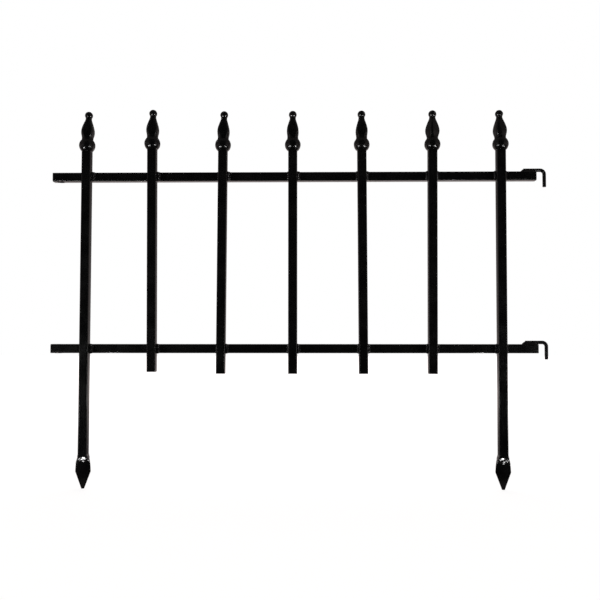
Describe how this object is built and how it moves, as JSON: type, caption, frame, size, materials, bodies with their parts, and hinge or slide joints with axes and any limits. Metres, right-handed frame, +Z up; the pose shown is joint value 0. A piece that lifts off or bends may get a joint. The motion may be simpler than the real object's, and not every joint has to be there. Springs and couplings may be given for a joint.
{
  "type": "steel garden border edging panel",
  "caption": "Low black steel border panel: square pickets with cast finials on rails, end pickets pressed into ground spikes, wire hooks and holes to couple panels.",
  "frame": {"origin": "centre of the middle picket's open foot, at the level where the ground comes up to", "axes": "+X along the panel from its holes to its hooks, +Z up, -Y towards the side that the pickets are on"},
  "size_m": [0.623, 0.0267, 0.4726],
  "materials": {
    "tube_coating": "gloss powder coat on drawn steel tube",
    "casting_coating": "gloss powder coat on a casting",
    "wire_coating": "gloss powder coat on round wire",
    "weld_coating": "gloss powder coat over weld beads"
  },
  "bodies": {
    "root": {"picket_1": "tube_coating", "finial_1": "casting_coating", "picket_2": "tube_coating", "finial_2": "casting_coating", "picket_3": "tube_coating", "finial_3": "casting_coating", "picket_4": "tube_coating", "finial_4": "casting_coating", "picket_5": "tube_coating", "finial_5": "casting_coating", "picket_6": "tube_coating", "finial_6": "casting_coating", "picket_7": "tube_coating", "finial_7": "casting_coating", "rail_top": "tube_coating", "hook_top": "wire_coating", "hook_weld_top": "weld_coating", "picket_welds_top": "weld_coating", "rail_bottom": "tube_coating", "hook_bottom": "wire_coating", "hook_weld_bottom": "weld_coating", "picket_welds_bottom": "weld_coating"}
  },
  "joints": []
}
